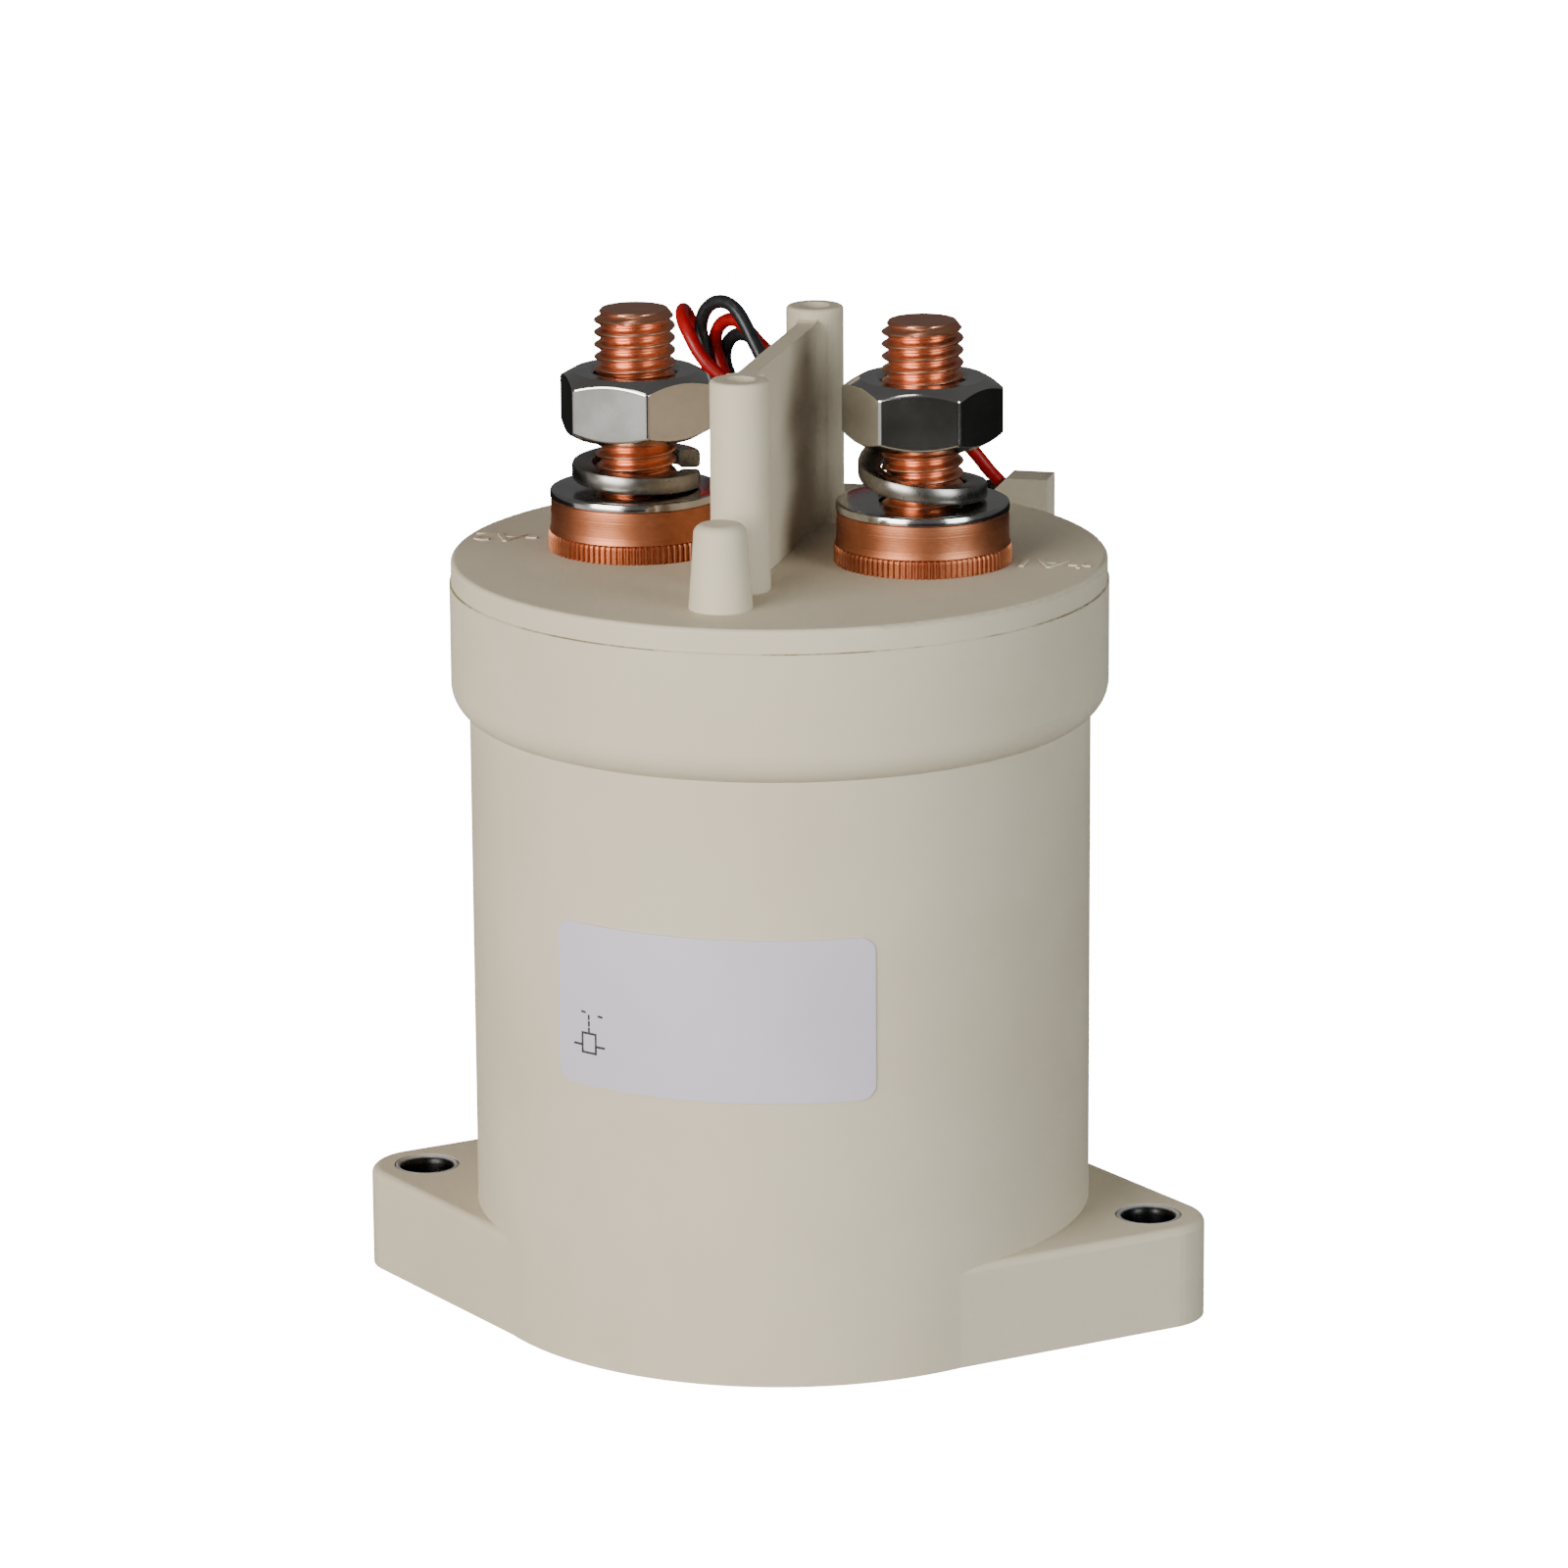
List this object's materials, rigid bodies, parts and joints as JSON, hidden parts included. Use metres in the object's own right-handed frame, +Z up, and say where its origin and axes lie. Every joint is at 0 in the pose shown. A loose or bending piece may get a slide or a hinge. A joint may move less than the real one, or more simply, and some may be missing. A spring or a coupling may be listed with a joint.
{
  "type": "high voltage dc contactor",
  "caption": "Sealed round high voltage DC contactor: moulded body with mounting ears, copper studs with nuts either side of a barrier, coil leads and the moving contact inside.",
  "frame": {"origin": "centre of the base, on the mounting surface", "axes": "+Z up along the body's axis, +X along the line of the two mounting holes and the two terminals, front of the label towards -Y"},
  "size_m": [0.1058, 0.0801, 0.1229],
  "materials": {
    "housing_plastic": "fine matte moulded plastic",
    "terminal_copper": "turned copper, satin",
    "bright_steel": "bright plated steel",
    "bush_steel": "dark plated steel",
    "nut_nickel": "nickel plated, glossy",
    "label_film": "printed film, blank",
    "red_insulation": "satin wire insulation",
    "black_insulation": "satin wire insulation",
    "tie_nylon": "nylon",
    "chamber_ceramic": "fired ceramic",
    "magnet_metal": "plated magnet",
    "core_iron": "zinc plated soft iron",
    "bobbin_plastic": "glass filled nylon",
    "winding_wire": "enamelled copper wire"
  },
  "bodies": {
    "root": {"housing": "housing_plastic", "lid": "housing_plastic", "left_bush": "bush_steel", "right_bush": "bush_steel", "left_terminal": "terminal_copper", "right_terminal": "terminal_copper", "left_flat_washer": "bright_steel", "right_flat_washer": "bright_steel", "left_spring_washer": "bright_steel", "right_spring_washer": "bright_steel", "label": "label_film", "red_lead": "red_insulation", "black_lead": "black_insulation", "lead_hank": "red_insulation", "lead_tie": "tie_nylon", "arc_chamber": "chamber_ceramic", "chamber_base": "chamber_ceramic", "front_magnet": "magnet_metal", "rear_magnet": "magnet_metal", "fixed_core": "core_iron", "return_spring": "bright_steel", "core_sleeve": "bright_steel", "bobbin": "bobbin_plastic", "coil_winding": "winding_wire", "yoke_cup": "core_iron", "pole_plate": "core_iron"},
    "armature": {"moving_core": "core_iron", "shaft": "bright_steel", "retaining_clip": "bright_steel", "contact_spring": "bright_steel"},
    "bridge": {"contact_bridge": "terminal_copper"},
    "left_nut": {"left_nut": "nut_nickel"},
    "right_nut": {"right_nut": "nut_nickel"}
  },
  "joints": [
    {"name": "armature_slide", "type": "slide", "parent": "root", "child": "armature", "axis": [0, 0, 1], "range_m": [0, 0.003], "stiffness_N_per_m": 1500, "springref_m": -0.004, "deforming": ["return_spring"]},
    {"name": "bridge_slide", "type": "slide", "parent": "armature", "child": "bridge", "axis": [0, 0, 1], "range_m": [-0.0008, 0], "deforming": ["contact_spring"]},
    {"name": "left_nut_turn", "type": "hinge", "parent": "root", "child": "left_nut", "pos_m": [-0.0178, 0, 0.112], "axis": [0, 0, 1], "continuous": true},
    {"name": "right_nut_turn", "type": "hinge", "parent": "root", "child": "right_nut", "pos_m": [0.0178, 0, 0.112], "axis": [0, 0, 1], "continuous": true}
  ],
  "couplings": [
    {"joint": "bridge_slide", "follows": "armature_slide", "ratio": -0.26667}
  ]
}
